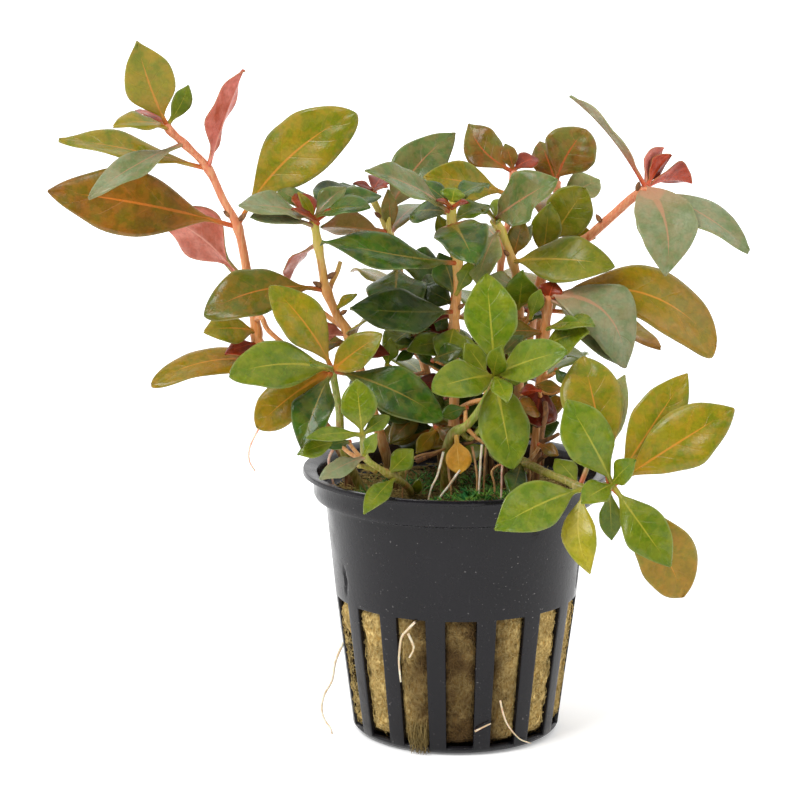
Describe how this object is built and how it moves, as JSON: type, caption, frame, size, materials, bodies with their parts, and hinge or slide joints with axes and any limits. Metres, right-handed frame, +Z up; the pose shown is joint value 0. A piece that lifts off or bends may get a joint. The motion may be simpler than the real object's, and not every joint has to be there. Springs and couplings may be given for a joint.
{
  "type": "potted ludwigia aquarium plant",
  "caption": "Bushy potted stem plant for aquariums: orange stems with opposite oval olive, green and red leaves, rooted in a mineral wool plug in a black slotted net pot.",
  "frame": {"origin": "centre of the pot's flat base, on the surface it stands on", "axes": "+Z up out of the pot's mouth; -Y towards the viewer of the picture, +X to the viewer's right"},
  "size_m": [0.1234, 0.0661, 0.1241],
  "materials": {
    "leaf_grey": "smooth waxy, lightly veined",
    "leaf_dark": "smooth waxy, lightly veined",
    "leaf_brown": "smooth waxy, lightly veined",
    "leaf_olive": "smooth waxy, lightly veined",
    "leaf_pale": "smooth waxy, lightly veined",
    "leaf_red": "smooth waxy, lightly veined",
    "leaf_bright": "smooth waxy, lightly veined",
    "leaf_green": "smooth waxy, lightly veined",
    "leaf_golden": "smooth waxy, lightly veined",
    "leaf_pink": "smooth waxy, lightly veined",
    "black_plastic": "moulded, slightly glossy, finely scuffed",
    "stem_skin": "smooth waxy",
    "mineral_wool": "loose damp fibre"
  },
  "bodies": {
    "root": {"leaf_back_left_1": "leaf_grey", "leaf_back_left_2": "leaf_dark", "leaf_back_right_1": "leaf_grey", "leaf_back_right_2": "leaf_brown", "leaf_back_top_1": "leaf_brown", "leaf_back_top_2": "leaf_olive", "leaf_centre_1": "leaf_grey", "leaf_centre_2": "leaf_dark", "leaf_centre_3": "leaf_dark", "leaf_centre_4": "leaf_dark", "leaf_far_right_1": "leaf_pale", "leaf_far_right_2": "leaf_red", "leaf_far_right_3": "leaf_grey", "leaf_far_right_4": "leaf_grey", "leaf_front_centre_1": "leaf_bright", "leaf_front_centre_2": "leaf_green", "leaf_front_centre_3": "leaf_bright", "leaf_front_centre_4": "leaf_green", "leaf_low_left_1": "leaf_dark", "leaf_low_left_2": "leaf_green", "leaf_low_left_3": "leaf_golden", "leaf_low_left_4": "leaf_dark", "leaf_low_left_5": "leaf_olive", "leaf_low_right_1": "leaf_olive", "leaf_low_right_2": "leaf_bright", "leaf_low_right_3": "leaf_olive", "leaf_low_right_4": "leaf_olive", "leaf_low_right_5": "leaf_green", "leaf_low_right_6": "leaf_golden", "leaf_low_right_7": "leaf_bright", "leaf_mid_left_1": "leaf_brown", "leaf_mid_left_2": "leaf_grey", "leaf_mid_left_3": "leaf_dark", "leaf_mid_right_1": "leaf_grey", "leaf_mid_right_2": "leaf_green", "leaf_right_arch_1": "leaf_grey", "leaf_right_arch_2": "leaf_golden", "leaf_tall_left_1": "leaf_olive", "leaf_tall_left_2": "leaf_grey", "leaf_tall_left_3": "leaf_olive", "leaf_tall_left_4": "leaf_brown", "leaf_tall_left_5": "leaf_pink", "leaf_tall_left_6": "leaf_red", "leaf_tall_left_7": "leaf_olive", "leaf_tall_left_8": "leaf_golden", "net_pot": "black_plastic", "stem_back_left": "stem_skin", "stem_back_right": "stem_skin", "stem_back_top": "stem_skin", "stem_centre": "stem_skin", "stem_far_right": "stem_skin", "stem_front_centre": "stem_skin", "stem_front_left": "stem_skin", "stem_low_left": "stem_skin", "stem_low_right": "stem_skin", "stem_mid_left": "stem_skin", "stem_mid_right": "stem_skin", "stem_right_arch": "stem_skin", "stem_tall_left": "stem_skin", "wool_plug": "mineral_wool"}
  },
  "joints": []
}
